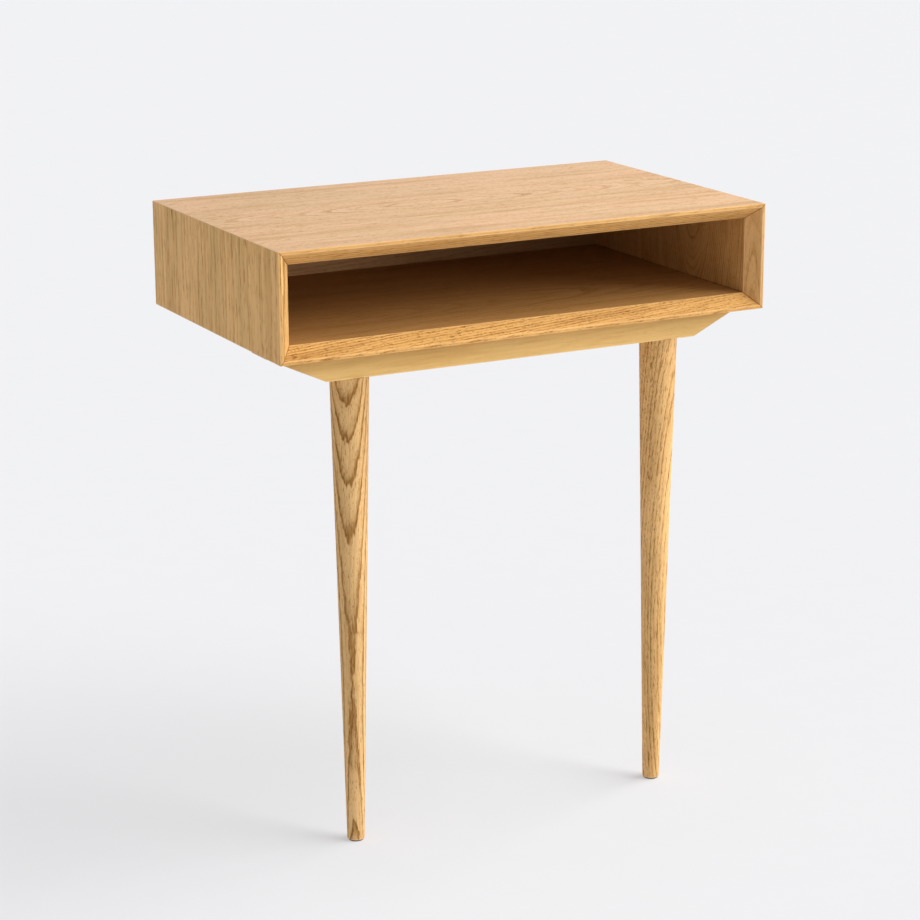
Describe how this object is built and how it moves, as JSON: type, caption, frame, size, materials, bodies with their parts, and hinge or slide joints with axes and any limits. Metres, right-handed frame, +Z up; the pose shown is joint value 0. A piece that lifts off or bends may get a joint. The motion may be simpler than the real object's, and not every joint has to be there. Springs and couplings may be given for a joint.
{
  "type": "bedside cabinet",
  "caption": "Wall-fixed bedside cabinet in oak: an open box with mitred, bevelled front edges on a slanted front rail and round tapered legs.",
  "frame": {"origin": "on the floor, at the centre of the bounding box's footprint; the feet stand at z = 0 and the wall is the plane y = +0.1525 m", "axes": "+X to the right as seen from the front, +Y backwards, into the wall, +Z up; the open front faces -Y"},
  "size_m": [0.52, 0.305, 0.6],
  "materials": {
    "oak_veneer": "clear matt lacquer on oak-veneered board",
    "oak_solid": "clear matt lacquer on solid oak",
    "oak_leg": "clear matt lacquer on turned solid oak",
    "oak_ply": "oak-faced plywood",
    "plywood": "bare birch plywood",
    "beech": "bare beech",
    "zinc_steel": "bright zinc plating",
    "glide": "dark brown nylon"
  },
  "bodies": {
    "root": {"top_board": "oak_veneer", "bottom_board": "oak_veneer", "left_board": "oak_veneer", "right_board": "oak_veneer", "top_lipping": "oak_solid", "bottom_lipping": "oak_solid", "left_lipping": "oak_solid", "right_lipping": "oak_solid", "spline_top_left": "plywood", "spline_top_right": "plywood", "spline_bottom_left": "plywood", "spline_bottom_right": "plywood", "back_panel": "oak_ply", "back_panel_pins": "zinc_steel", "hanging_rail": "oak_solid", "hanging_rail_dowels": "beech", "front_rail": "oak_solid", "front_rail_dowels": "beech", "front_rail_screws": "zinc_steel", "left_leg": "oak_leg", "right_leg": "oak_leg", "left_leg_insert": "zinc_steel", "right_leg_insert": "zinc_steel", "left_leg_bolt": "zinc_steel", "right_leg_bolt": "zinc_steel", "left_foot_glide": "glide", "right_foot_glide": "glide"}
  },
  "joints": []
}
